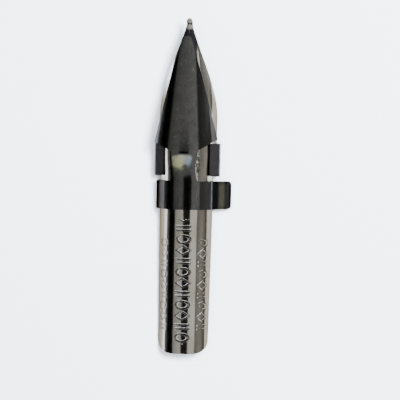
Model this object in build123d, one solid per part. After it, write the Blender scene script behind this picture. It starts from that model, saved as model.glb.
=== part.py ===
"""Lettering nib with a hinged top reservoir and a crimped under reservoir.

Three stamped sheet-steel pieces:
  nib              half-round shank, arched point, centre slit, round writing foot
  top_reservoir    blued clip: hinge knuckle, band, finger tab, neck and tapered shield
  under_reservoir  blued tongue below the point, held by two flaps folded over the shoulders

Frame: origin on the shank's axis at its rear edge, +Y to the writing foot, +Z out of the
rounded back, +X to the side of the finger tab. Millimetres and degrees.
"""

from build123d import *
import os
from math import asin, cos, degrees, pi, radians, sin, sqrt, tan

# ---- Nib: driving dimensions ----
nib_length = 38.0            # rear edge to the front of the foot
nib_sheet = 0.25
shank_radius = 3.20          # outside of the half-round shank
shank_length = 19.6          # rear edge to where the shank starts to widen
rear_half_angle = 62.0       # the shank's arc each side of the crown at its rear edge
front_half_angle = 70.0      # the same where the band sits
rear_corner_along = 1.5      # rounding of the two rear corners, a quarter of an ellipse
rear_corner_across = 2.0
shoulder_past_shank = 0.293  # the shoulders are this much wider than the shank, each side
shoulder_half_angle = 72.0
shoulder_start = 24.0        # the point is this wide from here
taper_start = 26.5           # and narrows from here
taper_power = 1.2            # above 1 hollows the taper near the foot
bend_start = 22.0            # the crown line starts to fall here
crown_drop = 1.90            # its fall by the tip
bend_power = 1.35
tip_half_width = 0.33
tip_half_angle = 20.0
slit_width = 0.06
vent_radius = 0.40
vent_place = 29.5

# ---- Writing foot ----
foot_radius = 0.32
foot_sheet = 0.20
foot_tilt = 36.0             # the foot turns up by this much

# ---- Both reservoirs ----
reservoir_sheet = 0.18
slip = 0.05                  # running clearance between the sheets

# ---- Top reservoir ----
band_length = 3.19
band_to_shoulder = 0.05      # band's front edge to the end of the shank
knuckle_wrap = 115.0         # the left end curls this far round the shank's edge
band_past_edge = 1.0         # the right end runs this far past the shank's other edge
tab_bend = 0.20
tab_slope = 26.0             # the tab falls by this much
tab_past_shank = 1.80        # from the shank's radius to the tab's free edge
tab_corner = 0.35
neck_half_width = 1.30
neck_root_half_width = 1.45
crease_half_width = 1.45
neck_flare = 0.9             # the neck narrows from the band over this length
crease_flare = 1.4           # and widens to the crease over this one
crease_place = 22.75
crease_lift = 0.72           # the neck rises this much from the band to the crease
ramp_length = 3.10
neck_shift = 0.10            # the neck's narrow part sits this much to the left
shield_edge_start = 23.0     # the shield's rear edges leave the neck here
shield_corner_place = 23.95
shield_corner_skew = 0.28    # the right corner is this much further forward
shield_past_shoulder = 0.17  # the shield's rear corners reach this far past the shoulders
shield_tip_place = 35.9
shield_tip_half_width = 0.40
shield_side_power = 0.9      # below 1 bows the shield's sides out
shield_rise = 1.71           # arch height at the corners
shield_tip_rise = 0.09
shield_rise_power = 1.40
shield_ridge_shift = 0.40    # the arch is highest this much to the left, at the corners
shield_tip_gap = 0.12        # ink gap over the nib at the shield's tip
shield_bow = 0.14            # the ridge stands this much above a straight line, midway
shield_lean = 0.9            # neck and shield lean to the left of the band by this much

# ---- Under reservoir ----
flap_length = 3.73
flap_to_band = 0.50          # gap between the flaps and the band, along the nib
flap_slope = 35.0
flap_inside_shoulder = 0.65  # from the shoulder's edge in to a flap's free edge
flap_corner = 0.40
edge_gap = 0.08              # between the folded sheet and the nib's edge
wall_gap = 0.25              # between the fold's upright wall and the nib's shoulder
fold_bend = 0.44             # mid-sheet radius of the fold below the nib's edge
flap_bend = 0.20
wall_rise = 0.48             # from the fold's centre up to where the wall turns inwards
chamber_gap = 0.55           # ink gap below the nib at the flaps
tongue_tip_gap = 0.08
tongue_half_width = 2.40
tongue_tip_half_width = 0.30
tongue_tip_half_angle = 20.0
tongue_to_tip = 0.90         # tongue's tip to the nib's narrowest section
under_shift = 0.04           # the whole piece sits this much to the right

# ---- Worked out from the above ----
foot_turn = radians(foot_tilt)
foot_place = nib_length - foot_radius * cos(foot_turn) - foot_sheet / 2 * sin(foot_turn)
tip_place = foot_place - 0.2 * foot_radius
shank_inside = shank_radius - nib_sheet
shank_middle = shank_radius - nib_sheet / 2
shank_half_width = shank_radius * sin(radians(front_half_angle))
shoulder_half_width = shank_half_width + shoulder_past_shank
tab_reach = shank_radius + tab_past_shank
flap_reach = shoulder_half_width - flap_inside_shoulder
shield_corner_half_width = shoulder_half_width + shield_past_shoulder

band_inside = shank_radius + slip
band_outside = band_inside + reservoir_sheet
band_front = shank_length - band_to_shoulder
band_rear = band_front - band_length
straight_start = band_rear - 0.6    # the shank's edges run parallel from here forward

flap_rear = band_front + flap_to_band + band_to_shoulder
flap_front = flap_rear + flap_length
tongue_tip_place = tip_place - tongue_to_tip


def blend(share):
    """Smooth step from 0 to 1."""
    share = min(1.0, max(0.0, share))
    return share * share * (3 - 2 * share)


def point_share(y):
    """0 at the tip, 1 where the taper starts."""
    return min(1.0, max(0.0, (tip_place - y) / (tip_place - taper_start)))


def nib_half_width(y):
    if y < taper_start:
        grown = blend((y - shank_length) / (shoulder_start - shank_length))
        return shank_half_width + (shoulder_half_width - shank_half_width) * grown
    taper = sin(pi / 2 * point_share(y) ** taper_power)
    return tip_half_width + (shoulder_half_width - tip_half_width) * taper


def nib_half_angle(y):
    if y < taper_start:
        grown = blend((y - shank_length) / (shoulder_start - shank_length))
        return front_half_angle + (shoulder_half_angle - front_half_angle) * grown
    return tip_half_angle + (shoulder_half_angle - tip_half_angle) * point_share(y)


def nib_crown(y):
    """Height of the nib's outside over the shank's axis."""
    fall = max(0.0, (y - bend_start) / (tip_place - bend_start))
    return shank_radius - crown_drop * fall ** bend_power


def nib_radius(y):
    return nib_half_width(y) / sin(radians(nib_half_angle(y)))


def nib_height(y, x):
    """Height of the nib's outside at x from the centre line."""
    radius = nib_radius(y)
    return nib_crown(y) - radius + sqrt(radius**2 - x**2)


def arc_point(y, across, centre, radius, angle):
    """Point on a section's arc, by its angle from the top, positive towards +X."""
    return Vector(across + radius * sin(radians(angle)), y, centre + radius * cos(radians(angle)))


def arch(y, crown, radius, first, last, sheet, ridge=0.0):
    """Cross-section of an arched sheet: its outside has this radius, is highest at x = ridge,
    and runs between two angles from there."""
    centre = crown - radius
    angles = (first, (first + last) / 2, last)
    left, top, right = (arc_point(y, ridge, centre, radius, a) for a in angles)
    in_left, in_top, in_right = (arc_point(y, ridge, centre, radius - sheet, a) for a in angles)
    edges = [
        ThreePointArc(left, top, right),
        Line(right, in_right),
        ThreePointArc(in_right, in_top, in_left),
        Line(in_left, left),
    ]
    return make_face(edges)


def arch_between(y, crown, radius, left, right, sheet, ridge):
    """The same, given by where its two sides are."""
    first, last = (degrees(asin((x - ridge) / radius)) for x in (left, right))
    return arch(y, crown, radius, first, last, sheet, ridge)


def sheet_strip(path, sheet, start, length):
    """A strip of sheet that follows a path drawn in the XZ plane, start to start + length along Y."""
    profile = trace(path, sheet)
    turned = Plane((0, start + length, 0), x_dir=(1, 0, 0), z_dir=(0, -1, 0)) * profile
    return extrude(turned, amount=length, dir=(0, -1, 0))


def build_shank():
    """Exact cylinder wall, cut back to the rear angle by two near-radial planes."""
    ring = arch(0, shank_radius, shank_radius, -front_half_angle, front_half_angle, nib_sheet)
    shank = extrude(ring, amount=shank_length, dir=(0, 1, 0))
    behind = Box(20, straight_start, 20, align=(Align.CENTER, Align.MIN, Align.CENTER))
    for side in (1, -1):
        rear = arc_point(0, 0, 0, shank_middle, side * rear_half_angle)
        front = arc_point(straight_start, 0, 0, shank_middle, side * front_half_angle)
        mean = radians((rear_half_angle + front_half_angle) / 2)
        outwards = Vector(side * sin(mean), 0, cos(mean))
        along = (front - rear).normalized()
        away = outwards.cross(along) * -side          # round the shank, away from its crown
        cutter = Plane(origin=rear, x_dir=outwards, z_dir=away) * Box(
            4 * shank_radius, 4 * nib_length, 2 * shank_radius,
            align=(Align.CENTER, Align.CENTER, Align.MIN),
        )
        shank -= cutter & behind
        # Round the rear corner: a rectangle less its quarter ellipse, pushed through the wall.
        block = Rectangle(2 * rear_corner_along, 2 * rear_corner_across)
        rounded = Ellipse(rear_corner_along, rear_corner_across)
        spandrel = block - Pos(rear_corner_along, side * rear_corner_across) * rounded
        corner = Plane(origin=rear, x_dir=along, z_dir=outwards) * spandrel
        shank -= extrude(corner, amount=shank_radius / 2, both=True)
    return shank


def build_foot():
    """Round plate, turned up at the tip."""
    height = nib_crown(tip_place) - foot_sheet / 2 + 0.3 * foot_radius * sin(foot_turn)
    where = Plane((0, foot_place, height), x_dir=(1, 0, 0), z_dir=(0, -sin(foot_turn), cos(foot_turn)))
    return where * Cylinder(foot_radius, foot_sheet)


def build_nib():
    places = [shank_length - 0.8, shank_length, shank_length + 1.4, shank_length + 2.9, shoulder_start]
    places += [taper_start + share * (tip_place - taper_start) for share in (0, 0.2, 0.4, 0.6, 0.8, 0.92, 1)]
    sections = [
        arch(y, nib_crown(y), nib_radius(y), -nib_half_angle(y), nib_half_angle(y), nib_sheet)
        for y in places
    ]
    nib = build_shank() + loft(sections) + build_foot()
    slit = Pos(0, (vent_place + nib_length) / 2 + 1, 0) * Box(slit_width, nib_length - vent_place + 2, 20)
    vent = Pos(0, vent_place, 0) * Cylinder(vent_radius, 20)
    return nib - slit - vent


def build_band():
    """Hinge knuckle, band and finger tab, as one bent strip."""
    middle = band_inside + reservoir_sheet / 2
    edge = radians(front_half_angle)
    pivot = Vector(-shank_middle * sin(edge), shank_middle * cos(edge))
    curl = middle - shank_middle
    knuckle = CenterArc(pivot, curl, 90 + front_half_angle, knuckle_wrap)
    end_angle = front_half_angle + band_past_edge
    band = CenterArc((0, 0), middle, 90 + front_half_angle, -(front_half_angle + end_angle))
    turn = end_angle - tab_slope
    end = Vector(middle * sin(radians(end_angle)), middle * cos(radians(end_angle)))
    side = Vector(sin(radians(end_angle)), cos(radians(end_angle)))
    bend_centre = end + side * tab_bend
    bend = CenterArc(bend_centre, tab_bend, 270 - end_angle, turn)
    foot = bend @ 1
    fall = radians(tab_slope)
    reach = (tab_reach - foot.X) / cos(fall)
    tab = Line(foot, foot + Vector(cos(fall), -sin(fall)) * reach)
    strip = sheet_strip([knuckle, band, bend, tab], reservoir_sheet, band_rear, band_length)
    tab_ends = [
        e for e in strip.edges()
        if e.center().X > tab_reach - reservoir_sheet and abs(e.length - reservoir_sheet) < 0.01
    ]
    return fillet(tab_ends, tab_corner)


def lean_shift(y):
    """How far neck and shield have moved across, to the left, at this place."""
    return -tan(radians(shield_lean)) * (y - band_front)


def build_neck():
    """Arched strip: waisted, and rising from the band to the crease."""
    places = [band_front + share * (crease_place - band_front) for share in (0, 0.14, 0.28, 0.5, 0.75, 1)]
    sections = []
    for y in places:
        rise = max(0.0, (y - crease_place + ramp_length) / ramp_length)
        radius = band_outside + (shield_radius(crease_place) - band_outside) * rise
        crown = band_outside + crease_lift * rise**1.5
        flare = min(1.0, max(0.0, (y - band_front) / neck_flare))
        widen = blend((y - crease_place + crease_flare) / crease_flare)
        half_width = neck_root_half_width + (neck_half_width - neck_root_half_width) * blend(flare)
        half_width += (crease_half_width - neck_half_width) * widen
        middle = lean_shift(y) - neck_shift * flare * (1 - widen)
        sections.append(arch_between(
            y, crown, radius, middle - half_width, middle + half_width, reservoir_sheet,
            lean_shift(y) + shield_ridge(crease_place) * rise,
        ))
    return loft(sections)


def shield_share(y):
    """0 at the shield's tip, 1 at its rear corners."""
    return (shield_tip_place - y) / (shield_tip_place - shield_corner_place)


def shield_crown(y):
    """Slightly bowed ridge from the crease down to the tip."""
    tip = nib_crown(shield_tip_place) + shield_tip_gap + reservoir_sheet
    fall = (y - crease_place) / (shield_tip_place - crease_place)
    straight = band_outside + crease_lift + (tip - band_outside - crease_lift) * fall
    return straight + shield_bow * 4 * fall * (1 - fall)


def shield_half_width(y):
    grown = shield_share(y) ** shield_side_power
    return shield_tip_half_width + (shield_corner_half_width - shield_tip_half_width) * grown


def shield_radius(y):
    """From the arch's height and width, but never so tight that its right edge turns under."""
    rise = shield_tip_rise + (shield_rise - shield_tip_rise) * shield_share(y) ** shield_rise_power
    tightest = shield_half_width(y) - shield_ridge(y) + reservoir_sheet
    return max((shield_half_width(y) ** 2 + rise**2) / (2 * rise), tightest)


def shield_ridge(y):
    """Where across the shield its arch is highest."""
    return -shield_ridge_shift * shield_share(y)


def build_shield():
    """Arched taper over the nib's point, with swept rear edges."""
    length = shield_tip_place - crease_place
    places = [crease_place + share * length for share in (0, 0.1, 0.3, 0.5, 0.7, 0.88, 1)]
    sections = []
    for y in places:
        middle, half_width = lean_shift(y), shield_half_width(y)
        sections.append(arch_between(
            y, shield_crown(y), shield_radius(y), middle - half_width, middle + half_width,
            reservoir_sheet, middle + shield_ridge(y),
        ))
    shield = loft(sections)
    far = 2 * shield_corner_half_width
    for side, corner_place in ((1, shield_corner_place + shield_corner_skew), (-1, shield_corner_place)):
        sweep_back = (corner_place - shield_edge_start) / (shield_corner_half_width - crease_half_width)
        corner = [
            (side * crease_half_width, crease_place - 1),
            (side * crease_half_width, shield_edge_start),
            (side * far, shield_edge_start + sweep_back * (far - crease_half_width)),
            (side * far, crease_place - 1),
        ]
        cutter = extrude(make_face(Polyline(*corner, close=True)), amount=20)
        shield -= Pos(lean_shift(shield_edge_start), 0, 0) * cutter
    return shield


def build_top_reservoir():
    return build_band() + build_neck() + build_shield()


def build_under_reservoir():
    """Arch under the nib, folded round both edges into flaps, and a tongue to the tip."""
    half = reservoir_sheet / 2
    low = nib_height(flap_front, nib_half_width(flap_front)) - nib_sheet * cos(radians(shoulder_half_angle))
    wall = shoulder_half_width + wall_gap + half
    fold_x = wall - fold_bend
    fold_z = low - edge_gap - half + fold_bend
    crown = nib_crown(flap_front) - nib_sheet - chamber_gap - half
    # The arch is the circle through the crown that is tangent to the fold from outside it.
    drop = crown - fold_z
    arch_radius = (drop**2 + fold_x**2 - fold_bend**2) / (2 * (drop + fold_bend))
    meet = degrees(asin(fold_x / (arch_radius + fold_bend)))
    arc = CenterArc((0, crown - arch_radius), arch_radius, 90, -meet)
    fold = CenterArc((fold_x, fold_z), fold_bend, 270 - meet, 90 + meet)
    wall_top = fold_z + wall_rise
    upright = Line(fold @ 1, (wall, wall_top))
    turn = 90 - flap_slope
    flap_turn = CenterArc((wall - flap_bend, wall_top), flap_bend, 0, turn)
    start = flap_turn @ 1
    run = (start.X - flap_reach) / cos(radians(flap_slope))
    rise = Vector(-cos(radians(flap_slope)), sin(radians(flap_slope)))
    flap = Line(start, start + rise * run)
    right = [arc, fold, upright, flap_turn, flap]
    left = [piece.mirror(Plane.YZ) for piece in right]
    hold = sheet_strip(left + right, reservoir_sheet, flap_rear, flap_length)
    free_ends = [
        e for e in hold.edges()
        if abs(e.length - reservoir_sheet) < 0.01
        and abs(abs(e.center().X) - flap_reach) < reservoir_sheet
        and e.center().Z > wall_top
        and e.center().Y < flap_rear + 0.01
    ]
    hold = fillet(free_ends, flap_corner)

    sections = []
    tip_crown = nib_crown(tongue_tip_place) - nib_sheet - tongue_tip_gap
    outside = arch_radius + half
    root_angle = degrees(asin(tongue_half_width / outside))
    for run in (0, 0.25, 0.5, 0.75, 1):
        y = flap_front + run * (tongue_tip_place - flap_front)
        half_width = tongue_half_width + (tongue_tip_half_width - tongue_half_width) * run
        half_angle = root_angle + (tongue_tip_half_angle - root_angle) * run
        top = crown + half + (tip_crown - crown - half) * run
        radius = half_width / sin(radians(half_angle))
        sections.append(arch(y, top, radius, -half_angle, half_angle, reservoir_sheet))
    return Pos(under_shift, 0, 0) * (hold + loft(sections))


parts = {
    "nib": build_nib(),
    "top_reservoir": build_top_reservoir(),
    "under_reservoir": build_under_reservoir(),
}
os.makedirs("parts", exist_ok=True)
for name, part in parts.items():
    export_step(part, f"parts/{name}.step")
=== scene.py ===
"""Looks for a lettering nib with a hinged top reservoir and an under reservoir.

Laid out as a Blender add-on and run as a script. Each stamping is one sheet: a surface through the
middle of the metal, worked out with numpy, given its thickness by Solidify and its worn edges by
Bevel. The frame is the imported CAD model. Lengths are written in millimetres and kept in metres.
"""

import math

import bpy
import numpy as np
from bpy.props import FloatProperty, FloatVectorProperty, PointerProperty
from mathutils import Matrix, Vector


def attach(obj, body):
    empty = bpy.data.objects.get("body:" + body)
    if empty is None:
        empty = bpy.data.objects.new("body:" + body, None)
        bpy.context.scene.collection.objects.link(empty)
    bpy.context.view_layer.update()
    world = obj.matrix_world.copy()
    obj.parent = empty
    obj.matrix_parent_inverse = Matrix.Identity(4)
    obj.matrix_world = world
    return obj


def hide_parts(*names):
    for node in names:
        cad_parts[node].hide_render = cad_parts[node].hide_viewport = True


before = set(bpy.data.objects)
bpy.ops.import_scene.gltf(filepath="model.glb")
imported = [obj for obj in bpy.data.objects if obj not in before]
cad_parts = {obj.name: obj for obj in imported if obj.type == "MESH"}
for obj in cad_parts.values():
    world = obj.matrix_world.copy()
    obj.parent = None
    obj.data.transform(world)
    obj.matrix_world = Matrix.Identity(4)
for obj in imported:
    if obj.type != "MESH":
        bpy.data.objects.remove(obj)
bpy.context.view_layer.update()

bl_info = {
    "name": "Lettering nib",
    "version": (1, 0, 0),
    "blender": (4, 5, 0),
    "location": "View3D > Sidebar > Lettering nib",
    "description": "Builds a lettering nib with two reservoirs round its CAD frame",
    "category": "Add Mesh",
}

MM = 0.001
FIXED_BODY = "nib_with_under_reservoir"
HINGED_BODY = "top_reservoir"

# Fixed proportions of the stampings.
TAPER_POWER = 1.2           # above 1 hollows the nib's taper near the foot
BEND_POWER = 1.35           # above 1 gathers the fall of the nib's crown line near the foot
CLIMB_POWER = 1.5           # above 1 starts the neck's rise gently
FLARE_POWER = 2.5           # how quickly the neck narrows where it leaves the band
SIDE_POWER = 0.9            # below 1 bows the shield's sides out
RISE_POWER = 1.40           # above 1 lowers the shield's arch early on its way to the tip
NECK_FLARE = 0.9 * MM       # the neck narrows from the band over this length
CREASE_FLARE = 1.4 * MM     # and widens to the crease over this one
LEAN_EASE = 1.0 * MM        # the lean of neck and shield comes in over this length
SHIELD_TIP_BOW = 0.14 * MM  # the shield's tip is rounded by this much
DISH_SLOPE = 0.35 * MM      # the tab's hollow slopes down over this length from the bend
DISH_RIM = 0.45 * MM        # and over this one from the tab's other edges
TONGUE_TIP_GAP = 0.08 * MM  # under the nib at the tongue's tip
FOOT_CURVE = 1.2 * MM       # radius of the writing foot's sheet, across
FOOT_LAST_ROW = 0.985       # the foot's last row, as a share of the half turn round its disc
FOOT_OVERRUN = 1.02         # its rows run this far past the disc's end, so that it closes
FOOT_TURN = 0.5             # the foot turns up over this share of its radius
FOOT_NECK = 0.75            # and up to this share it is filled out
FOOT_NECK_WIDTH = 0.93      # to this share of the tip's width
FLAP_FRONT = 0.35           # the flaps' front corners are rounded by this share of the rear ones
BEYOND = 1.0                # a distance from an end that no rounded corner reaches


# ---------------------------------------------------------------- settings


def length(name, description, millimetres):
    return FloatProperty(
        name=name, description=description, default=millimetres * MM, unit="LENGTH",
        subtype="DISTANCE", precision=5,
    )


def angle(name, description, degrees):
    return FloatProperty(
        name=name, description=description, default=math.radians(degrees), subtype="ANGLE"
    )


def colour(name, description, rgb):
    return FloatVectorProperty(
        name=name, description=description, default=rgb, subtype="COLOR", size=3, min=0, max=1
    )


class NibSizes(bpy.types.PropertyGroup):
    """Shank, shoulders, point and writing foot"""

    sheet: length("Sheet", "Thickness of the nib's steel", 0.25)
    radius: length("Shank radius", "Outside of the half-round shank", 3.20)
    shank: length("Shank length", "Rear edge to where the shoulders start", 19.6)
    rear_angle: angle("Rear arc", "The shank's arc each side of its crown, rear edge", 62.0)
    front_angle: angle("Front arc", "The same at the band", 70.0)
    straight: length("Edges parallel from", "Where the rear taper of the shank ends", 15.5)
    corner: length("Rear corner", "Rounding of the rear corners, along the shank", 1.5)
    corner_across: length("Rear corner across", "The same, round the shank", 2.2)
    shoulder: length("Shoulder half-width", "Half of the nib's widest part", 3.30)
    shoulder_angle: angle("Shoulder arc", "The arc each side at the shoulders", 72.0)
    shoulder_start: length("Shoulder start", "Where the nib is widest", 24.0)
    taper_start: length("Taper start", "Where the nib starts to narrow", 26.5)
    taper_end: length("Taper end", "Where the foot starts", 37.24)
    tip: length("Tip half-width", "Half of the nib's width behind the foot", 0.33)
    tip_angle: angle("Tip arc", "The arc each side at the tip", 20.0)
    bend_start: length("Bend start", "Where the crown line starts to fall", 22.0)
    drop: length("Crown drop", "How far the crown line falls by the tip", 1.90)
    slit: length("Slit", "Width of the slit", 0.02)
    vent: length("Vent radius", "Radius of the vent hole", 0.40)
    vent_place: length("Vent place", "Where the slit starts", 29.5)
    foot_end: length("Foot end", "Front of the foot", 38.0)
    foot: length("Foot radius", "Radius of the round writing foot", 0.32)
    foot_tilt: angle("Foot tilt", "How far the foot turns up", 36.0)
    edge: length("Edge wear", "Rounding of the sheet's cut edges", 0.045)


class TopReservoirSizes(bpy.types.PropertyGroup):
    """Knuckle, band, finger tab, neck and shield"""

    sheet: length("Sheet", "Thickness of both reservoirs' steel", 0.18)
    slip: length("Slip", "Clearance of the band over the shank", 0.05)
    rear: length("Band rear", "Rear edge of the band", 16.36)
    front: length("Band front", "Front edge of the band", 19.55)
    flat: length("Band radius", "The band's radius over the crown, flatter than the shank", 3.80)
    side: length("Side radius", "Radius of the bend down to the knuckle", 1.20)
    knuckle_ease: length("Knuckle ease", "How much wider the knuckle is than a close fit", 0.20)
    wrap: angle("Knuckle wrap", "How far the left end curls round the nib's edge", 115.0)
    past: angle("Past the edge", "The band's arc beyond the nib's right edge", 1.0)
    tab_bend: length("Tab bend", "Bend radius of the tab", 0.20)
    tab_slope: angle("Tab slope", "How far the tab falls", 26.0)
    tab_reach: length("Tab reach", "From the shank's axis to the tab's free edge", 5.00)
    tab_corner: length("Tab corner", "Rounding of the tab's corners", 0.40)
    tab_dish: length("Tab dish", "Depth of the hollow pressed into the tab", 0.09)
    neck: length("Neck half-width", "Half of the neck's narrowest part", 1.30)
    root: length("Root half-width", "Half of the neck's width at the band", 1.45)
    crease: length("Crease place", "Where the neck meets the shield", 22.75)
    crease_half: length("Crease half-width", "Half of the neck's width at the crease", 1.45)
    lift: length("Crease lift", "How far the neck rises to the crease", 0.72)
    ramp: length("Ramp length", "Length of the rising part of the neck", 3.10)
    shift: length("Neck shift", "How far the neck sits to the right of centre", -0.10)
    corner_place: length("Corner place", "The shield's rear corners, along the nib", 23.95)
    skew: length("Corner skew", "How much further forward the right corner is", 0.28)
    corner_half: length("Corner half-width", "From the centre line to the rear corners", 3.47)
    edge_start: length("Edge start", "Where the shield's rear edges leave the neck", 23.0)
    tip_place: length("Tip place", "The shield's tip", 35.90)
    tip_half: length("Tip half-width", "Half of the shield's tip", 0.40)
    rise: length("Arch rise", "Height of the shield's arch at its corners", 1.71)
    tip_rise: length("Tip rise", "The same at its tip", 0.09)
    ridge: length("Ridge shift", "How far left the arch is highest, at its corners", 0.40)
    bow: length("Ridge bow", "How far the ridge stands above a straight line", 0.14)
    tip_gap: length("Ink gap", "Gap over the nib at the shield's tip", 0.12)
    lean: angle("Lean", "How far neck and shield lean to the left", 0.9)
    edge: length("Edge wear", "Rounding of the sheet's cut edges", 0.035)


class UnderReservoirSizes(bpy.types.PropertyGroup):
    """Tongue and folded flaps"""

    rear: length("Flap rear", "Rear edge of the flaps", 20.10)
    front: length("Flap front", "Front edge of the flaps", 23.83)
    slope: angle("Flap slope", "How steeply the flaps rise inwards", 35.0)
    reach: length("Flap reach", "From the centre line to a flap's free edge", 2.65)
    corner: length("Flap corner", "Rounding of the flaps' rear corners", 0.40)
    edge_gap: length("Edge gap", "Gap under the nib's edge", 0.08)
    wall_gap: length("Wall gap", "Gap beside the nib's shoulder", 0.25)
    shift: length("Shift", "How far the whole piece sits to the right", 0.04)
    fold: length("Fold", "Radius of the fold under the nib's edge", 0.44)
    turn: length("Turn", "Radius of the bend over the shoulder", 0.20)
    wall_top: length("Wall top", "Where the wall turns inwards", 1.35)
    chamber: length("Ink chamber", "Gap under the nib at the flaps", 0.55)
    tongue: length("Tongue half-width", "Half of the tongue's root", 2.40)
    tongue_tip: length("Tongue tip half-width", "Half of the tongue's tip", 0.30)
    tongue_back: length("Tongue setback", "Tongue's tip to the foot", 0.90)


class Colours(bpy.types.PropertyGroup):
    """Finishes of the three stampings, painted shade on the nib, and the ground"""

    steel: colour("Plated steel", "The nib's plating", (0.40, 0.39, 0.355))
    tarnish: colour("Tarnish", "Brownish film on the plating", (0.29, 0.265, 0.21))
    # Painted shade: the steep sides darkened to stand in for the shaded ground they mirror
    painted_flank_shade: colour("Flanks", "Duller plating on the steep sides", (0.125, 0.107, 0.08))
    polished: colour("Polished point", "Plating kept bright on the point", (0.64, 0.62, 0.58))
    # Also the colour of the painted shade at the foot's crease and of the painted shadow beside the
    # neck
    ink_and_shade: colour("Dried ink", "Ink left on the tines and in the stamped marks", (0.035, 0.033, 0.04))
    blued: colour("Blued steel", "Tempered surface of both reservoirs", (0.078, 0.080, 0.079))
    flap: colour("Flap tint", "Bluer oxide of the under reservoir", (0.125, 0.120, 0.132))
    straw: colour("Straw temper", "Yellow temper colour on the neck", (0.52, 0.54, 0.32))
    azure: colour("Blue temper", "Blue temper colour on the neck", (0.24, 0.31, 0.42))
    paper: colour("Ground", "The pale ground", (0.79, 0.835, 0.955))


class Light(bpy.types.PropertyGroup):
    """Lights, and how the nib lies under the camera"""

    panel: FloatProperty(
        name="Panels", description="Brightness of the soft panel overhead", default=0.95
    )
    side: FloatProperty(
        name="Side card", description="Brightness of the right card", default=0.62
    )
    key: FloatProperty(
        name="Key", description="Power of the key light, watts", default=4.0
    )
    fill: FloatProperty(
        name="Fill", description="Power of the fill light, watts", default=3.4
    )
    roll: angle("Roll", "How far the object leans to the left on the ground", 6.0)
    pitch: angle("Pitch", "How far its point is raised off the ground", 3.5)
    turn: angle("Turn", "How far it is turned clockwise in the view", 1.25)
    distance: length("Camera distance", "From the camera to the nib", 253.5)


# ---------------------------------------------------------------- surfaces


def smooth(x):
    """3 x^2 - 2 x^3 between 0 and 1, held outside."""
    x = np.clip(x, 0, 1)
    return x * x * (3 - 2 * x)


def spread(start, stop, count, ease=0.0):
    """count values from start to stop, crowded towards both ends as ease goes to 1."""
    t = np.linspace(0, 1, count)
    return start + (stop - start) * ((1 - ease) * t + ease * (1 - np.cos(math.pi * t)) / 2)


def grid_quads(rows, columns):
    """Corner numbers of every cell of a grid of points stored row by row, counter-clockwise."""
    corner = (np.arange(rows - 1)[:, None] * columns + np.arange(columns - 1)).ravel()
    return np.stack([corner, corner + 1, corner + columns + 1, corner + columns], 1)


class Sheet:
    """Grids of points sewn into one surface, the middle of a piece of sheet metal."""

    def __init__(self):
        self.points, self.quads, self.flat, self.count = [], [], [], 0

    def add(self, points, keep=None, flat=None):
        """points is rows x columns x 3, with the outside of the sheet up when rows run along
        +Y and columns along +X; flat, rows x columns x 2, is the same sheet unrolled."""
        rows, columns = points.shape[:2]
        quads = grid_quads(rows, columns)
        if keep is not None:
            quads = quads[keep.ravel()]
        self.points.append(points.reshape(-1, 3))
        self.flat.append((points[..., :2] if flat is None else flat).reshape(-1, 2))
        self.quads.append(quads + self.count)
        self.count += rows * columns

    def make(self, name, thickness, edge, body, material):
        """One object: doubles merged, thickness half to each side, cut edges rounded."""
        points, flat = np.concatenate(self.points), np.concatenate(self.flat)
        quads = np.concatenate(self.quads)
        _, first, sewn = np.unique(
            np.round(points / (1e-3 * MM)).astype(np.int64), axis=0,
            return_index=True, return_inverse=True,
        )
        quads = sewn.reshape(-1)[quads]
        points, flat = points[first], flat[first]
        mesh = bpy.data.meshes.new(name)
        mesh.from_pydata(points.tolist(), [], quads.tolist())
        mesh.validate()
        layer = mesh.uv_layers.new(name="Unrolled")
        corners = np.empty(len(mesh.loops), np.int32)
        mesh.loops.foreach_get("vertex_index", corners)
        layer.data.foreach_set("uv", flat[corners].astype(np.float32).ravel())
        mesh.polygons.foreach_set("use_smooth", np.ones(len(mesh.polygons), bool))
        mesh.materials.append(material)
        thing = bpy.data.objects.new(name, mesh)
        bpy.context.scene.collection.objects.link(thing)
        solid = thing.modifiers.new("Thickness", "SOLIDIFY")
        solid.thickness, solid.offset, solid.use_rim = thickness, 0.0, True
        worn = thing.modifiers.new("Worn edges", "BEVEL")
        worn.width, worn.segments = edge, 2
        worn.limit_method, worn.angle_limit = "ANGLE", math.radians(50)
        worn.harden_normals = True
        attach(thing, body)
        return thing


# ---------------------------------------------------------------- the nib's shape


def nib_share(s, y):
    """1 where the taper starts, 0 where the foot starts, linear between."""
    return np.clip((s.taper_end - y) / (s.taper_end - s.taper_start), 0, 1)


def nib_half_width(s, y):
    """Shank to shoulder by a smooth step, then a taper that follows a sine."""
    wall = s.radius * math.sin(s.front_angle)
    grown = wall + (s.shoulder - wall) * smooth((y - s.shank) / (s.shoulder_start - s.shank))
    taper = s.tip + (s.shoulder - s.tip) * np.sin(
        math.pi / 2 * nib_share(s, y) ** TAPER_POWER
    )
    return np.where(y < s.taper_start, grown, taper)


def nib_half_angle(s, y):
    """The sheet's arc each side of its crown: a smooth step, then linear down to the tip."""
    grown = s.front_angle + (s.shoulder_angle - s.front_angle) * smooth(
        (y - s.shank) / (s.shoulder_start - s.shank)
    )
    taper = s.tip_angle + (s.shoulder_angle - s.tip_angle) * nib_share(s, y)
    return np.where(y < s.taper_start, grown, taper)


def nib_crown(s, y):
    """Height of the nib's outside above the shank's axis: radius - drop * share^BEND_POWER."""
    fall = np.clip((y - s.bend_start) / (s.taper_end - s.bend_start), 0, None)
    return s.radius - s.drop * fall**BEND_POWER


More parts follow.
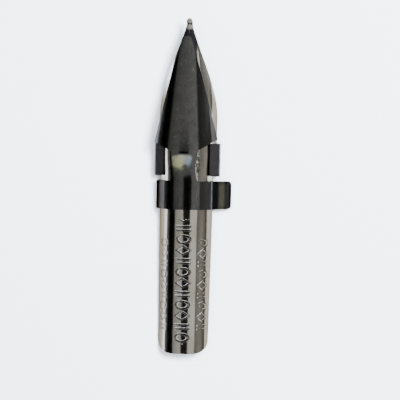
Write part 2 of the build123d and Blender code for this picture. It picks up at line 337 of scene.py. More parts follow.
def nib_sheet(s):
    """An arc of radius r(y) under the crown line, from the slit's side g(y) to the edge a(y):
    x = r sin(t), z = crown - R + r cos(t). The foot carries the same rows on, turned up."""
    sheet = Sheet()
    y = np.concatenate([
        s.corner * (1 - np.cos(spread(0, math.pi / 2, 12)))[:-1],
        spread(s.corner, s.vent_place - s.vent, 104)[:-1],
        s.vent_place - s.vent * np.cos(spread(0, math.pi, 15)),
        spread(s.vent_place + s.vent, s.taper_end, 64)[1:],
    ])
    outer = nib_half_width(s, y) / np.sin(nib_half_angle(s, y))
    middle = outer - s.sheet / 2
    half = nib_half_angle(s, y)
    behind = s.rear_angle + (s.front_angle - s.rear_angle) * y / s.straight
    half = np.where(y < s.straight, behind, half)
    inset = s.corner - np.sqrt(np.clip(s.corner**2 - (s.corner - y) ** 2, 0, None))
    half = half - np.where(y < s.corner, inset, 0) * s.corner_across / s.corner / middle
    hole = np.sqrt(np.clip(s.vent**2 - (y - s.vent_place) ** 2, 0, None))
    gap = np.maximum(s.slit / 2, hole) / middle
    centre = nib_crown(s, y) - outer

    # The foot: rows every few hundredths of a millimetre, turning up and rounding to a disc.
    run = s.foot * (1 - np.cos(spread(0, math.pi * FOOT_LAST_ROW, 22))) * FOOT_OVERRUN
    more = run[1:]
    turned = s.foot_tilt * smooth(more / (FOOT_TURN * s.foot))
    step = np.diff(run)
    foot_length = s.foot_end - s.sheet / 2 * math.sin(s.foot_tilt) - s.taper_end
    reach = foot_length / np.sum(step * np.cos(turned))
    foot_y = s.taper_end + np.cumsum(step * np.cos(turned)) * reach
    foot_z = nib_crown(s, s.taper_end) + np.cumsum(step * np.sin(turned)) * reach
    disc = np.sqrt(np.clip(s.foot**2 - (more - s.foot) ** 2, 0, None))
    filled = np.maximum(disc, s.tip * FOOT_NECK_WIDTH)
    foot_half = np.where(more < FOOT_NECK * s.foot, filled, disc)
    foot_half = np.maximum(foot_half, s.slit)
    rows = len(y) + len(more)

    def column_points(t):
        """t from 0 at the slit to 1 at the edge, on one side."""
        phi = gap[:, None] + (half - gap)[:, None] * t
        x = middle[:, None] * np.sin(phi)
        z = centre[:, None] + middle[:, None] * np.cos(phi)
        body = np.stack([x, np.broadcast_to(y[:, None], x.shape), z], -1)
        fx = s.slit / 2 + (foot_half - s.slit / 2)[:, None] * t
        sag = FOOT_CURVE - np.sqrt(FOOT_CURVE**2 - fx**2)
        up = (foot_z - s.sheet / 2)[:, None] - sag * np.cos(turned)[:, None]
        foot = np.stack([fx, foot_y[:, None] + sag * np.sin(turned)[:, None], up], -1)
        unrolled = np.concatenate([middle[:, None] * phi, fx])
        return np.concatenate([body, foot]), unrolled

    t = spread(0, 1, 30, 0.25)
    right, flat_x = column_points(t)
    left = right[:, ::-1] * np.array([-1, 1, 1])
    points = np.concatenate([left, right], 1)
    place = np.concatenate([y, foot_y])
    flat = np.stack([
        np.concatenate([-flat_x[:, ::-1], flat_x], 1),
        np.broadcast_to(place[:, None], (rows, 2 * len(t))),
    ], -1)
    keep = np.ones((rows - 1, 2 * len(t) - 1), bool)
    keep[place[:-1] >= s.vent_place - s.vent - 1e-9, len(t) - 1] = False
    sheet.add(points, keep, flat)
    return sheet


# ---------------------------------------------------------------- the top reservoir's shape


def shield_share(s, y):
    """1 at the shield's rear corners, 0 at its tip, linear along the nib."""
    return (s.tip_place - y) / (s.tip_place - s.corner_place)


def shield_half_width(s, y):
    """tip + (corner - tip) share^SIDE_POWER."""
    share = np.clip(shield_share(s, y), 0, None)
    return s.tip_half + (s.corner_half - s.tip_half) * share**SIDE_POWER


def shield_radius(s, y):
    """Radius of an arc of half-width w and height h: (w^2 + h^2) / 2 h."""
    share = np.clip(shield_share(s, y), 0, None)
    rise = s.tip_rise + (s.rise - s.tip_rise) * share**RISE_POWER
    return (shield_half_width(s, y) ** 2 + rise**2) / (2 * rise)


def upper_height(s, nib, x, y):
    """Middle of the neck and shield over (x, y): one height field, so that they meet exactly.
    z = crown(y) - R(y) + sqrt(r(y)^2 - (x - ridge(y))^2)"""
    band = nib.radius + s.slip + s.sheet
    climb = np.clip((y - s.crease + s.ramp) / s.ramp, 0, 1)
    top = band + s.lift
    tip = nib_crown(nib, s.tip_place) + s.tip_gap + s.sheet
    fall = (y - s.crease) / (s.tip_place - s.crease)
    line = top + (tip - top) * fall + s.bow * 4 * fall * (1 - fall)
    crown = np.where(y < s.crease, band + s.lift * climb**CLIMB_POWER, line)
    at_crease = np.array(s.crease)
    radius = np.where(
        y < s.crease, s.flat + (shield_radius(s, at_crease) - s.flat) * climb, shield_radius(s, y)
    )
    ridge = -s.ridge * np.where(
        y < s.crease, shield_share(s, at_crease) * climb, shield_share(s, y)
    )
    return crown - radius + np.sqrt((radius - s.sheet / 2) ** 2 - (x - ridge) ** 2)


def leaned(s, points):
    """Turns a block about the middle of the band's front edge, easing in over LEAN_EASE."""
    y = points[..., 1] - s.front
    turn = s.lean * smooth(y / LEAN_EASE)
    x = points[..., 0]
    out = points.copy()
    out[..., 0] = x * np.cos(turn) - y * np.sin(turn)
    out[..., 1] = s.front + x * np.sin(turn) + y * np.cos(turn)
    return out


def rounded_reach(distance, corner):
    """How far an edge steps in at a distance d from a rounded end: c - sqrt(c^2 - (c - d)^2)."""
    inside = np.clip(corner - distance, 0, corner)
    return corner - np.sqrt(corner**2 - inside**2)


def top_sheet(s, nib):
    """Band: a path of knuckle arc, band arc, bend and tab, carried along Y. Neck: rows from the
    band's front edge to the crease line, its sides waisted. Shield: rows from the crease line
    to the tip, its sides x = p w(y)."""
    sheet = Sheet()
    middle = nib.radius + s.slip + s.sheet / 2
    edge = nib.front_angle
    neck_u = spread(-1, 1, 25)
    mid_nib = nib.radius - nib.sheet / 2
    pivot = np.array([-mid_nib * math.sin(edge), mid_nib * math.cos(edge)])
    curl = middle - mid_nib + s.knuckle_ease
    # Over the crown the band is an arc of its own, flatter than the shank; at either side a
    # smaller arc, tangent to it, leads down to the knuckle and to the shank's other edge.
    flat = s.flat - s.sheet / 2
    low = np.array([0.0, middle - flat])
    near, far = flat - s.side, s.side - curl
    span = np.linalg.norm(pivot - low)
    along = (near**2 - far**2 + span**2) / (2 * span)
    toward = (pivot - low) / span
    above = np.array([toward[1], -toward[0]])
    hub = low + toward * along + above * math.sqrt(near**2 - along**2)
    leave = math.atan2(hub[0] - low[0], hub[1] - low[1])
    arrive = math.atan2(pivot[0] - hub[0], pivot[1] - hub[1])
    neck_angle = np.arcsin(neck_u * s.root / flat)
    crown_arc = np.concatenate([
        spread(leave, neck_angle[0], 12)[:-1], neck_angle, spread(neck_angle[-1], -leave, 12)[1:],
    ])
    end = edge + s.past
    tail = np.array([middle * math.sin(end), middle * math.cos(end)])

    def round_arc(centre, radius, angles):
        return centre + radius * np.stack([np.sin(angles), np.cos(angles)], -1)

    left_side = round_arc(hub, s.side, spread(arrive, leave, 9)[:-1])
    right_side = round_arc(hub * np.array([-1, 1]), s.side, spread(-leave, end, 9)[1:])
    # The right side is eased out so that it ends on the circle that the band shares with the
    # shank, where the tab bends away.
    right_side += (tail - right_side[-1]) * smooth(np.linspace(0, 1, 8))[:, None]
    curled = spread(s.wrap, 0, 14)[:-1]
    knuckle = round_arc(pivot, curl, arrive - curled)
    arc = np.concatenate([left_side, round_arc(low, flat, crown_arc), right_side])
    outwards = np.array([math.sin(end), math.cos(end)])
    bend_centre = (middle + s.tab_bend) * outwards
    bent = math.radians(270) - end + spread(0, end - s.tab_slope, 8)[1:]
    bend = bend_centre + s.tab_bend * np.stack([np.cos(bent), np.sin(bent)], -1)
    fall = np.array([math.cos(s.tab_slope), -math.sin(s.tab_slope)])
    reach = (s.tab_reach - bend[-1, 0]) / fall[0]
    out = np.concatenate([
        spread(0, reach - s.tab_corner, 10)[1:],
        reach - s.tab_corner * np.cos(spread(0, math.pi / 2, 9))[1:],
    ])
    tab = bend[-1] + out[:, None] * fall
    path = np.concatenate([knuckle, arc, bend, tab])
    to_end = np.full(len(path), BEYOND)
    to_end[-len(out):] = reach - out
    step_in = rounded_reach(to_end, s.tab_corner)
    half = (s.front - s.rear) / 2
    v = spread(-1, 1, 25)
    y = (s.front + s.rear) / 2 + v[:, None] * (half - step_in)
    points = np.stack([
        np.broadcast_to(path[:, 0], y.shape), y, np.broadcast_to(path[:, 1], y.shape)
    ], -1)
    # The tab is dished: a hollow with a raised rim all round.
    dish = np.zeros(len(path))
    dish[-len(out):] = smooth(out / DISH_SLOPE) * smooth((reach - out) / DISH_RIM)
    rim = smooth((1 - np.abs(v)) * half / DISH_RIM)
    points[..., 2] -= s.tab_dish * rim[:, None] * dish
    sheet.add(points)

    side = (s.corner_place - s.edge_start) / (s.corner_half - s.crease_half)
    extra = s.skew / (s.corner_half - s.crease_half)

    def rear_line(x):
        """Where the shield starts: the crease, bowed, then the two swept rear edges."""
        inner = s.crease + (s.edge_start - s.crease) * (x / s.crease_half) ** 2
        past = np.abs(x) - s.crease_half
        outer = s.edge_start + (side + np.where(x > 0, extra, 0)) * past
        return np.where(past < 0, inner, outer)

    last = neck_u * s.crease_half
    v = spread(0, 1, 30)[:, None]
    y = s.front + v * (rear_line(last) - s.front)
    flare = np.clip((y - s.front) / NECK_FLARE, 0, 1)
    half = s.root + (s.neck - s.root) * (1 - (1 - flare) ** FLARE_POWER)
    widen = smooth((y - s.crease + CREASE_FLARE) / CREASE_FLARE)
    half = half + (s.crease_half - s.neck) * widen
    x = neck_u * half + s.shift * flare * (1 - widen)
    x[-1] = last
    points = np.stack([x, y, upper_height(s, nib, x, y)], -1)
    sheet.add(leaned(s, points))

    wing = spread(s.crease_half, s.corner_half, 15)[1:]
    first = np.concatenate([-wing[::-1], last, wing])
    start = rear_line(first)
    p = first / shield_half_width(s, start)
    v = spread(0, 1, 74)[:, None]
    finish = s.tip_place - SHIELD_TIP_BOW * p**2
    y = start + v * (finish - start)
    x = p * shield_half_width(s, y)
    x[0] = first
    points = np.stack([x, y, upper_height(s, nib, x, y)], -1)
    sheet.add(leaned(s, points))
    return sheet


# ---------------------------------------------------------------- the under reservoir's shape


def under_sheet(s, nib, thickness):
    """Flaps: a path of arch, fold, wall, turn and flap, mirrored, carried along Y. Tongue: the
    arch's middle carried forward, narrowing, under the slit."""
    sheet = Sheet()
    half = thickness / 2
    front = np.array(s.front)
    radius = nib_half_width(nib, front) / np.sin(nib_half_angle(nib, front))
    low = nib_crown(nib, front) - radius + radius * math.cos(nib.shoulder_angle)
    low = low - nib.sheet * math.cos(nib.shoulder_angle)
    wall = nib.shoulder + s.wall_gap + half
    fold_x, fold_z = wall - s.fold, low - s.edge_gap - half + s.fold
    crown = nib_crown(nib, front) - nib.sheet - s.chamber - half
    drop = crown - fold_z
    arch = (drop**2 + fold_x**2 - s.fold**2) / (2 * (drop + s.fold))
    meet = math.asin(fold_x / (arch + s.fold))
    root = math.asin(s.tongue / (arch + half))
    tongue_t = spread(0, root, 13)
    t = np.concatenate([tongue_t, spread(root, meet, 8)[1:]])
    arc = np.stack([arch * np.sin(t), crown - arch + arch * np.cos(t)], -1)
    t = math.radians(270) - meet + spread(0, math.pi / 2 + meet, 16)[1:]
    fold = np.stack([fold_x + s.fold * np.cos(t), fold_z + s.fold * np.sin(t)], -1)
    upright = np.stack([np.full(5, wall), spread(fold_z, s.wall_top, 6)[1:]], -1)
    t = spread(0, math.pi / 2 - s.slope, 8)[1:]
    turn = np.stack([wall - s.turn + s.turn * np.cos(t), s.wall_top + s.turn * np.sin(t)], -1)
    run = (turn[-1, 0] - s.reach) / math.cos(s.slope)
    out = np.concatenate([
        spread(0, run - s.corner, 6)[1:], run - s.corner * np.cos(spread(0, math.pi / 2, 9))[1:],
    ])
    flap = turn[-1] + out[:, None] * np.array([-math.cos(s.slope), math.sin(s.slope)])
    right = np.concatenate([arc, fold, upright, turn, flap])
    to_end = np.full(len(right), BEYOND)
    to_end[-len(out):] = run - out
    step_in = rounded_reach(to_end, s.corner)
    path = np.concatenate([right[:0:-1] * np.array([-1, 1]), right])
    step_in = np.concatenate([step_in[:0:-1], step_in])
    v = spread(0, 1, 25)[:, None]
    y = (s.rear + step_in) * (1 - v) + (s.front - FLAP_FRONT * step_in) * v
    points = np.stack([
        np.broadcast_to(path[:, 0], y.shape), y, np.broadcast_to(path[:, 1], y.shape)
    ], -1)
    sheet.add(points)

    tip = nib.taper_end - s.tongue_back
    t = np.concatenate([-tongue_t[:0:-1], tongue_t]) / root
    v = spread(0, 1, 40)[:, None]
    y = s.front + v * (tip - s.front)
    width = s.tongue + (s.tongue_tip - s.tongue) * v
    tip_angle = math.radians(20)
    turn = root + (tip_angle - root) * v
    outer = width / np.sin(turn)
    tip_top = nib_crown(nib, np.array(tip)) - nib.sheet - TONGUE_TIP_GAP
    top = crown + half + (tip_top - crown - half) * v
    x = (outer - half) * np.sin(turn * t)
    z = top - outer + (outer - half) * np.cos(turn * t)
    sheet.add(np.stack([x, np.broadcast_to(y, x.shape), z], -1))
    for block in sheet.points:
        block[:, 0] += s.shift
    return sheet


# ---------------------------------------------------------------- materials

# How much of what lies beyond them the metals mirror at grazing angles.
PLATED_EDGE = (0.35, 0.34, 0.32, 1.0)
BLUED_EDGE = (0.10, 0.10, 0.10, 1.0)


class Value:
    """A socket that can be used in Python arithmetic."""

    def __init__(self, nodes, socket):
        self.nodes, self.socket = nodes, socket

    def _math(self, operation, first, second=None, third=None):
        inputs = [v for v in (first, second, third) if v is not None]
        return self.nodes.add("ShaderNodeMath", {"operation": operation}, inputs)

    def __add__(self, other):
        return self._math("ADD", self, other)

    __radd__ = __add__

    def __mul__(self, other):
        return self._math("MULTIPLY", self, other)

    __rmul__ = __mul__

    def __sub__(self, other):
        return self._math("SUBTRACT", self, other)

    def __rsub__(self, other):
        return self._math("SUBTRACT", other, self)

    def __truediv__(self, other):
        return self._math("DIVIDE", self, other)

    def __pow__(self, other):
        return self._math("POWER", self, other)

    def __lt__(self, other):
        return self._math("LESS_THAN", self, other)

    def __gt__(self, other):
        return self._math("GREATER_THAN", self, other)

    def __mod__(self, other):
        return self._math("FLOORED_MODULO", self, other)

    def __abs__(self):
        return self._math("ABSOLUTE", self)

    def least(self, other):
        return self._math("MINIMUM", self, other)

    def most(self, other):
        return self._math("MAXIMUM", self, other)

    def ramp(self, low, high):
        """0 below low, 1 above high, smooth between."""
        return self.nodes.add(
            "ShaderNodeMapRange", {"interpolation_type": "SMOOTHSTEP"},
            {"Value": self, "From Min": low, "From Max": high, "To Min": 0.0, "To Max": 1.0},
        )


class Nodes:
    """Builds one material's node tree."""

    def __init__(self, name):
        self.material = bpy.data.materials.new(name)
        self.material.use_nodes = True
        self.tree = self.material.node_tree
        self.tree.nodes.clear()

    def add(self, kind, settings=None, inputs=None, output=0):
        node = self.tree.nodes.new(kind)
        for key, value in (settings or {}).items():
            setattr(node, key, value)
        items = inputs.items() if isinstance(inputs, dict) else enumerate(inputs or [])
        for key, value in items:
            if isinstance(value, Value):
                self.tree.links.new(value.socket, node.inputs[key])
            else:
                node.inputs[key].default_value = value
        return Value(self, node.outputs[output])

    def place(self):
        """Object coordinates, in millimetres."""
        where = self.add("ShaderNodeTexCoord", output="Object")
        return self.add("ShaderNodeVectorMath", {"operation": "SCALE"}, {0: where, "Scale": 1000.0})

    def unrolled(self):
        """Across and along the flat sheet, in millimetres."""
        flat = self.add("ShaderNodeUVMap", {"uv_map": "Unrolled"})
        return self.add("ShaderNodeVectorMath", {"operation": "SCALE"}, {0: flat, "Scale": 1000.0})

    def axes(self, vector):
        node = self.tree.nodes.new("ShaderNodeSeparateXYZ")
        self.tree.links.new(vector.socket, node.inputs[0])
        return [Value(self, node.outputs[i]) for i in range(3)]

    def stretched(self, vector, factors):
        return self.add("ShaderNodeVectorMath", {"operation": "MULTIPLY"}, {0: vector, 1: factors})

    def noise(self, vector, scale, detail=3.0, rough=0.55):
        return self.add(
            "ShaderNodeTexNoise", {"noise_dimensions": "3D"},
            {"Vector": vector, "Scale": scale, "Detail": detail, "Roughness": rough},
        )

    def mix(self, factor, first, second):
        """Mix of two colours; plain colours are tuples."""
        node = self.tree.nodes.new("ShaderNodeMix")
        node.data_type = "RGBA"
        for key, value in ((0, factor), (6, first), (7, second)):
            if isinstance(value, Value):
                self.tree.links.new(value.socket, node.inputs[key])
            elif key == 0:
                node.inputs[key].default_value = value
            else:
                node.inputs[key].default_value = (*tuple(value)[:3], 1.0)
        return Value(self, node.outputs[2])

    def bump(self, height, strength, distance, normal=None):
        inputs = {"Height": height, "Strength": strength, "Distance": distance}
        if normal is not None:
            inputs["Normal"] = normal
        return self.add("ShaderNodeBump", None, inputs)

    def surface(self, **inputs):
        """Ends the material in a Principled shader; an underscore stands for a space."""
        named = {key.replace("_", " "): value for key, value in inputs.items()}
        shader = self.add("ShaderNodeBsdfPrincipled", None, named)
        out = self.tree.nodes.new("ShaderNodeOutputMaterial")
        self.tree.links.new(shader.socket, out.inputs["Surface"])
        return self.material


def ornament_row(across, along, centre, half_height, pitch, first, last, line):
    """Mask of a row of engraved outlines, 1 on a line: lozenge, ring and pair of bars in turn.
    Each is |distance from the outline| below half a line's width, in its own cell."""
    a = abs((across - centre) / half_height)
    turns = along / pitch
    index = turns._math("FLOOR", turns)
    b = abs((turns - index - 0.5) * (2.0 / 0.86))
    kind = index % 3
    inside = (a.most(b)).ramp(1.06, 1.0)
    lozenge = abs(a + b - 0.92)
    ring = abs((a * a + b * b) ** 0.5 - 0.80)
    bars = (abs(b - 0.42)).most((a - 0.86).most(0.0) * 2.0)
    first_kind, last_kind = kind < 0.5, kind > 1.5
    second_kind = 1 - first_kind - last_kind
    away = lozenge * first_kind + ring * second_kind + bars * last_kind
    return away.ramp(line, line * 0.45) * inside * (along > first) * (along < last)


def plated_steel(colours):
    """Grey plating with a brownish film, painted shade on the steep flanks, fine streaks along the
    sheet, rows of inked stamped outlines, darker tines by the slit, a painted shade band at the
    foot's crease and a painted shadow beside the neck. Places are in millimetres: across and along
    the unrolled sheet, or x and y of the nib."""
    n = Nodes("plated_steel")
    place, flat = n.place(), n.unrolled()
    across, along, _ = n.axes(flat)
    cloud = n.noise(n.stretched(place, (1.0, 0.35, 1.0)), 0.9, 4.0)
    blotch = n.noise(place, 3.2, 5.0, 0.6)
    streak = n.noise(n.stretched(flat, (14.0, 0.7, 1.0)), 1.0, 3.0)
    worn = blotch.ramp(0.30, 0.62)
    film = (cloud.ramp(0.42, 0.72) * 0.55 + across.ramp(0.2, 2.6) * 0.30).least(1.0)
    # Painted shade: the shank's steep sides and the steep sides of the point are darkened to stand
    # in for the shaded ground they mirror.
    painted_flank_shade = (abs(across)).ramp(1.9, 2.7) * along.ramp(20.5, 19.0)
    point_side = (abs(across)) + (along - 26.0).most(0.0) * 0.20
    painted_flank_shade = painted_flank_shade.most(point_side.ramp(3.0, 3.5) * along.ramp(20.5, 22.0) * along.ramp(34.0, 32.5))
    # Stamped ornament: three rows of plain outlines.
    marks = ornament_row(across, along, 0.0, 0.86, 1.24, 1.1, 15.3, 0.26)
    marks = marks.most(ornament_row(across, along, -2.45, 0.55, 1.20, 2.6, 13.0, 0.26))
    marks = marks.most(ornament_row(across, along, 2.35, 0.66, 1.20, 2.6, 13.0, 0.26) * 0.22)
    # Darker on the tines either side of the slit towards the point; and a painted shade band across
    # the crease where the foot turns up.
    reach = (abs(across)) + (blotch - 0.5) * 0.5
    dark_tines_and_bend_shade = along.ramp(30.0, 33.0) * reach.ramp(1.05, 0.80) * (1 - along.ramp(36.55, 36.8))
    dark_tines_and_bend_shade = dark_tines_and_bend_shade.most(along.ramp(37.18, 37.26) * (1 - along.ramp(37.42, 37.50)) * 0.8)
    base = n.mix(film, colours.steel, colours.tarnish)
    base = n.mix(painted_flank_shade, base, colours.painted_flank_shade)
    polished = along.ramp(28.5, 33.0) * (abs(across)).ramp(0.7, 1.3)
    base = n.mix(polished, base, colours.polished)
    base = n.mix((streak.ramp(0.52, 0.75) * 0.12), base, (0.30, 0.27, 0.22))
    base = n.mix(marks * worn * 0.8, base, colours.ink_and_shade)
    x, y, _ = n.axes(place)
    # Painted shadow of the neck on the nib: a ragged dark line along both of the neck's sides.
    frayed = x + (n.noise(place, 2.6, 5.0, 0.65) - 0.5) * 0.9
    painted_neck_shadow = frayed.ramp(-1.85, -1.65) * frayed.ramp(-1.30, -1.50)
    painted_neck_shadow = painted_neck_shadow.most(frayed.ramp(1.10, 1.25) * frayed.ramp(1.60, 1.45))
    painted_neck_shadow = painted_neck_shadow * y.ramp(19.8, 20.6) * y.ramp(23.5, 22.9) * blotch.ramp(0.40, 0.50)
    base = n.mix(dark_tines_and_bend_shade.most(painted_neck_shadow * 0.85), base, colours.ink_and_shade)
    rough = 0.07 + cloud * 0.07 + dark_tines_and_bend_shade * 0.20 + marks * 0.06
    relief = n.bump(streak, 0.10, 0.02 * MM)
    relief = n.bump(blotch, 0.12, 0.02 * MM, relief)
    relief = n.bump(1 - marks, 1.0, 0.09 * MM, relief)
    return n.surface(
        Base_Color=base, Metallic=1.0, Roughness=rough, Normal=relief, Specular_Tint=PLATED_EDGE
    )


def blued_steel(name, tint, colours, temper):
    """Dark tempered oxide with scuffs; with temper, the neck keeps straw and blue temper colours,
    and the top reservoir gets painted shade on its steep sides, fold and tab edge and a painted
    olive reflection on its tab.
    """
    n = Nodes(name)
    place = n.place()
    x, y, _ = n.axes(place)
    cloud = n.noise(place, 1.1, 4.0)
    grain = n.noise(place, 9.0, 6.0, 0.7)
    scuff = n.noise(n.stretched(place, (9.0, 1.6, 9.0)), 1.0, 4.0)
    base = n.mix(cloud.ramp(0.35, 0.7) * 0.5, tint, tuple(0.62 * c for c in tint))
    base = n.mix(grain.ramp(0.56, 0.74) * 0.40, base, (0.22, 0.21, 0.19))
    base = n.mix(scuff.ramp(0.58, 0.74) * 0.35, base, (0.26, 0.25, 0.22))
    base = n.mix(grain.ramp(0.44, 0.30) * 0.50, base, (0.03, 0.03, 0.03))
    # With temper the top reservoir also gets the painted shade and painted reflection below.
    if temper:
        wave = (n.noise(place, 1.7, 4.0) - 0.5) * 1.3

        def patch(at_x, at_y, wide, long):
            """A soft, ragged blot, 1 in its middle."""
            away = ((x - at_x) / wide) ** 2.0 + ((y - at_y) / long) ** 2.0
            return (away ** 0.5 + wave).ramp(1.35, 0.30)

        across_neck = (abs(x + 0.25)).ramp(1.45, 1.15) * y.ramp(22.72, 22.45)
        pale = patch(-0.35, 22.1, 1.15, 0.75) * across_neck
        base = n.mix(pale * 0.9, base, (0.46, 0.46, 0.40))
        base = n.mix(patch(-0.72, 21.75, 0.72, 0.95) * across_neck * 0.8, base, colours.straw)
        base = n.mix(patch(0.40, 21.90, 0.50, 0.65) * across_neck * 0.7, base, colours.azure)
        # Painted shade: the band's left side, the shield's right edge and the fold beside the tab
        # are darkened to stand in for the shaded ground they mirror, and so is the tab towards its
        # free edge.
        steep = x.ramp(-2.15, -2.6) * y.ramp(20.5, 20.0)
        steep = steep.most(x.ramp(2.2, 2.7) * y.ramp(22.8, 23.0))
        fold = x.ramp(2.95, 3.1) * x.ramp(3.75, 3.5) * y.ramp(20.5, 20.0)
        base = n.mix(steep * 0.75, base, (0.025, 0.022, 0.018))
        base = n.mix(fold * 0.95, base, (0.008, 0.008, 0.008))
        base = n.mix(x.ramp(4.15, 4.5) * 0.75, base, (0.02, 0.02, 0.02))
        # Painted reflection: a lighter olive strip along the tab's middle.
        base = n.mix(x.ramp(3.5, 3.8) * x.ramp(4.4, 4.1) * 0.4, base, (0.17, 0.165, 0.12))
    rough = 0.07 + cloud * 0.08 + grain * 0.07
    if temper:
        rough = rough + fold * 0.45
    relief = n.bump(grain, 0.10, 0.02 * MM)
    relief = n.bump(scuff, 0.10, 0.02 * MM, relief)
    return n.surface(
        Base_Color=base, Metallic=1.0, Roughness=rough, Normal=relief,
        Specular_Tint=BLUED_EDGE,
    )


def paper(colours):
    """Matt pale ground, very slightly uneven."""
    n = Nodes("ground")
    place = n.place()
    tooth = n.noise(place, 0.8, 3.0)
    base = n.mix(tooth * 0.04, colours.paper, tuple(0.95 * c for c in colours.paper))
    return n.surface(Base_Color=base, Roughness=0.9)


def glow(name, low, high, tint=(1.0, 0.985, 0.955)):
    """A card that glows evenly, or low at its first edge and high at its last."""
    n = Nodes(name)
    _, up, _ = n.axes(n.unrolled())
    light = n.mix(up * 0.001, tuple(low * c for c in tint), tuple(high * c for c in tint))
    return n.surface(
        Base_Color=(0.0, 0.0, 0.0, 1.0), Roughness=1.0, Specular_IOR_Level=0.0,
        Emission_Color=light, Emission_Strength=1.0,
    )


# ---------------------------------------------------------------- operators


class MakeNib(bpy.types.Operator):
    """Builds the nib: shank, point, slit, vent hole and writing foot"""

    bl_idname = "lettering_nib.make_nib"
    bl_label = "Nib"

    def execute(self, context):
        scene = context.scene
        s = scene.nib_sizes
        thing = nib_sheet(s).make(
            "nib_sheet", s.sheet, s.edge, FIXED_BODY, plated_steel(scene.nib_colours)
        )
        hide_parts("nib")
        return {"FINISHED"}


class MakeTopReservoir(bpy.types.Operator):
    """Builds the top reservoir: knuckle, band, finger tab, neck and shield"""

    bl_idname = "lettering_nib.make_top_reservoir"
    bl_label = "Top reservoir"

    def execute(self, context):
        scene = context.scene
        s, colours = scene.top_sizes, scene.nib_colours
        thing = top_sheet(s, scene.nib_sizes).make(
            "top_reservoir_sheet", s.sheet, s.edge, HINGED_BODY,
            blued_steel("blued_top", tuple(colours.blued), colours, True),
        )
        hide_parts("top_reservoir")
        return {"FINISHED"}


class MakeUnderReservoir(bpy.types.Operator):
    """Builds the under reservoir: tongue and two folded flaps"""

    bl_idname = "lettering_nib.make_under_reservoir"
    bl_label = "Under reservoir"

    def execute(self, context):
        scene = context.scene
        s, colours = scene.under_sizes, scene.nib_colours
        thing = under_sheet(s, scene.nib_sizes, scene.top_sizes.sheet).make(
            "under_reservoir_sheet", scene.top_sizes.sheet, scene.top_sizes.edge, FIXED_BODY,
            blued_steel("blued_under", tuple(colours.flap), colours, False),
        )
        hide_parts("under_reservoir")
        return {"FINISHED"}


def card(name, corners, material):
    """A flat four-cornered card of the stage."""
    mesh = bpy.data.meshes.new(name)
    mesh.from_pydata([tuple(c) for c in corners], [], [(0, 1, 2, 3)])
    mesh.uv_layers.new(name="Unrolled").data.foreach_set("uv", (0, 0, 1, 0, 1, 1, 0, 1))
    mesh.materials.append(material)
    thing = bpy.data.objects.new(name, mesh)
    bpy.context.scene.collection.objects.link(thing)
    return thing


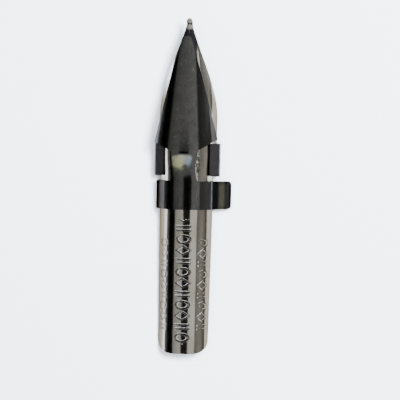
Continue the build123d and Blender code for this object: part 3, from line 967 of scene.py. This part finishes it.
class MakeStage(bpy.types.Operator):
    """Builds the ground, the light panels and cards, the lights and the camera"""

    bl_idname = "lettering_nib.make_stage"
    bl_label = "Stage"

    def execute(self, context):
        scene = context.scene
        s = scene.nib_light
        up = Vector((
            math.sin(s.roll) * math.cos(s.pitch), math.sin(s.pitch),
            math.cos(s.roll) * math.cos(s.pitch),
        )).normalized()
        turned = Vector((-math.sin(s.turn), math.cos(s.turn), 0.0))
        ahead = (turned - up * turned.dot(up)).normalized()
        right = ahead.cross(up).normalized()
        # The middle of the view, and the ground just below it.
        origin = Vector((0.0, 17.32 * MM, 0.0))
        level, far_off = -0.10 * MM, 1.2

        def at(x, y, z):
            """A point of the stage: right, ahead and up from the middle of the view."""
            return origin + right * x + ahead * y + up * z

        corners = [(-1, -1), (1, -1), (1, 1), (-1, 1)]
        card("ground", [at(far_off * x, far_off * y, level) for x, y in corners],
             paper(scene.nib_colours))
        height = 0.32

        def overhead(name, z, left, right, near, far, low, high):
            """A level card between two angles from the zenith, glowing low at its left edge
            and high at its right."""
            a, b = z * math.tan(math.radians(left)), z * math.tan(math.radians(right))
            return card(name, [at(a, near, z), at(a, far, z), at(b, far, z), at(b, near, z)],
                        glow(name, low, high))

        overhead("panel", height, -50, 41, -0.9, 0.45, 0.50 * s.panel, 1.45 * s.panel)
        overhead("lens_shade", 0.256, -16.0, 12.5, -0.10, 0.052, 0.022, 0.022)

        def upright(name, side, steep, level, near, far, low, high):
            """A standing card between two angles from the zenith, glowing low at its foot."""
            z0 = abs(side) / math.tan(math.radians(steep))
            z1 = abs(side) / math.tan(math.radians(level))
            return card(name, [at(side, near, z0), at(side, far, z0), at(side, far, z1),
                               at(side, near, z1)], glow(name, low, high))

        upright("left_dark", -0.42, 77.5, 50.5, -0.9, 0.6, 0.004, 0.004)
        upright("left_low", -0.43, 89.9, 77.5, -0.9, 0.6, 0.22, 0.22)
        upright("right_grey", 0.42, 80, 41.5, -0.9, 0.05, 1.05 * s.side, 0.46 * s.side)
        upright("right_far", 0.42, 80, 41.5, 0.05, 0.6, 0.75 * s.side, 0.20 * s.side)
        upright("right_low", 0.43, 89.9, 80, -0.9, 0.6, 0.50, 0.50)
        upright("right_far_low", 0.41, 89.9, 72, 0.05, 0.6, 0.8, 0.6)
        card("tail_card", [at(-0.4, -0.9, 0), at(0.4, -0.9, 0), at(0.4, -0.9, height),
                           at(-0.4, -0.9, height)], glow("tail_card", 0.8, 0.8))

        def lamp(name, power, size, x, y, z):
            """A round light turned to the middle of the view, not mirrored in the metal."""
            light = bpy.data.lights.new(name, "AREA")
            light.energy, light.size, light.shape = power, size, "DISK"
            thing = bpy.data.objects.new(name, light)
            scene.collection.objects.link(thing)
            where = at(x, y, z)
            back = (where - at(0, 0, 0)).normalized()
            facing = back.to_track_quat("Z", "Y").to_matrix().to_4x4()
            thing.matrix_world = Matrix.Translation(where) @ facing
            thing.visible_glossy = False

        lamp("key", s.key, 0.10, 0.10, 0.07, 0.27)
        lamp("fill", s.fill, 0.36, 0.0, 0.0, 0.30)

        world = bpy.data.worlds.new("world")
        world.use_nodes = True
        world.node_tree.nodes["Background"].inputs["Color"].default_value = (0.75, 0.75, 0.78, 1)
        world.node_tree.nodes["Background"].inputs["Strength"].default_value = 0.22
        scene.world = world

        data = bpy.data.cameras.new("camera")
        data.lens, data.sensor_width = 200.0, 36.0
        data.clip_start, data.clip_end = 0.01, 10.0
        camera = bpy.data.objects.new("camera", data)
        scene.collection.objects.link(camera)
        eye = at(1.44 * MM, -0.05 * MM, s.distance)
        axes = Matrix((right, ahead, up)).transposed().to_4x4()
        camera.matrix_world = Matrix.Translation(eye) @ axes
        scene.camera = camera
        return {"FINISHED"}


class NibPanel(bpy.types.Panel):
    bl_idname = "VIEW3D_PT_lettering_nib"
    bl_label = "Lettering nib"
    bl_space_type = "VIEW_3D"
    bl_region_type = "UI"
    bl_category = "Lettering nib"

    def draw(self, context):
        for operator in OPERATORS:
            self.layout.operator(operator.bl_idname)
        for name in SETTINGS:
            box = self.layout.box()
            group = getattr(context.scene, name)
            for key in group.__annotations__:
                box.prop(group, key)


OPERATORS = (MakeNib, MakeTopReservoir, MakeUnderReservoir, MakeStage)
SETTINGS = {
    "nib_sizes": NibSizes, "top_sizes": TopReservoirSizes, "under_sizes": UnderReservoirSizes,
    "nib_colours": Colours, "nib_light": Light,
}
CLASSES = (*SETTINGS.values(), *OPERATORS, NibPanel)


def register():
    for item in CLASSES:
        bpy.utils.register_class(item)
    for name, kind in SETTINGS.items():
        setattr(bpy.types.Scene, name, PointerProperty(type=kind))


def unregister():
    for name in SETTINGS:
        delattr(bpy.types.Scene, name)
    for item in reversed(CLASSES):
        bpy.utils.unregister_class(item)


def main():
    register()
    bpy.ops.lettering_nib.make_nib()
    bpy.ops.lettering_nib.make_top_reservoir()
    bpy.ops.lettering_nib.make_under_reservoir()
    bpy.ops.lettering_nib.make_stage()


if __name__ == "__main__":
    main()
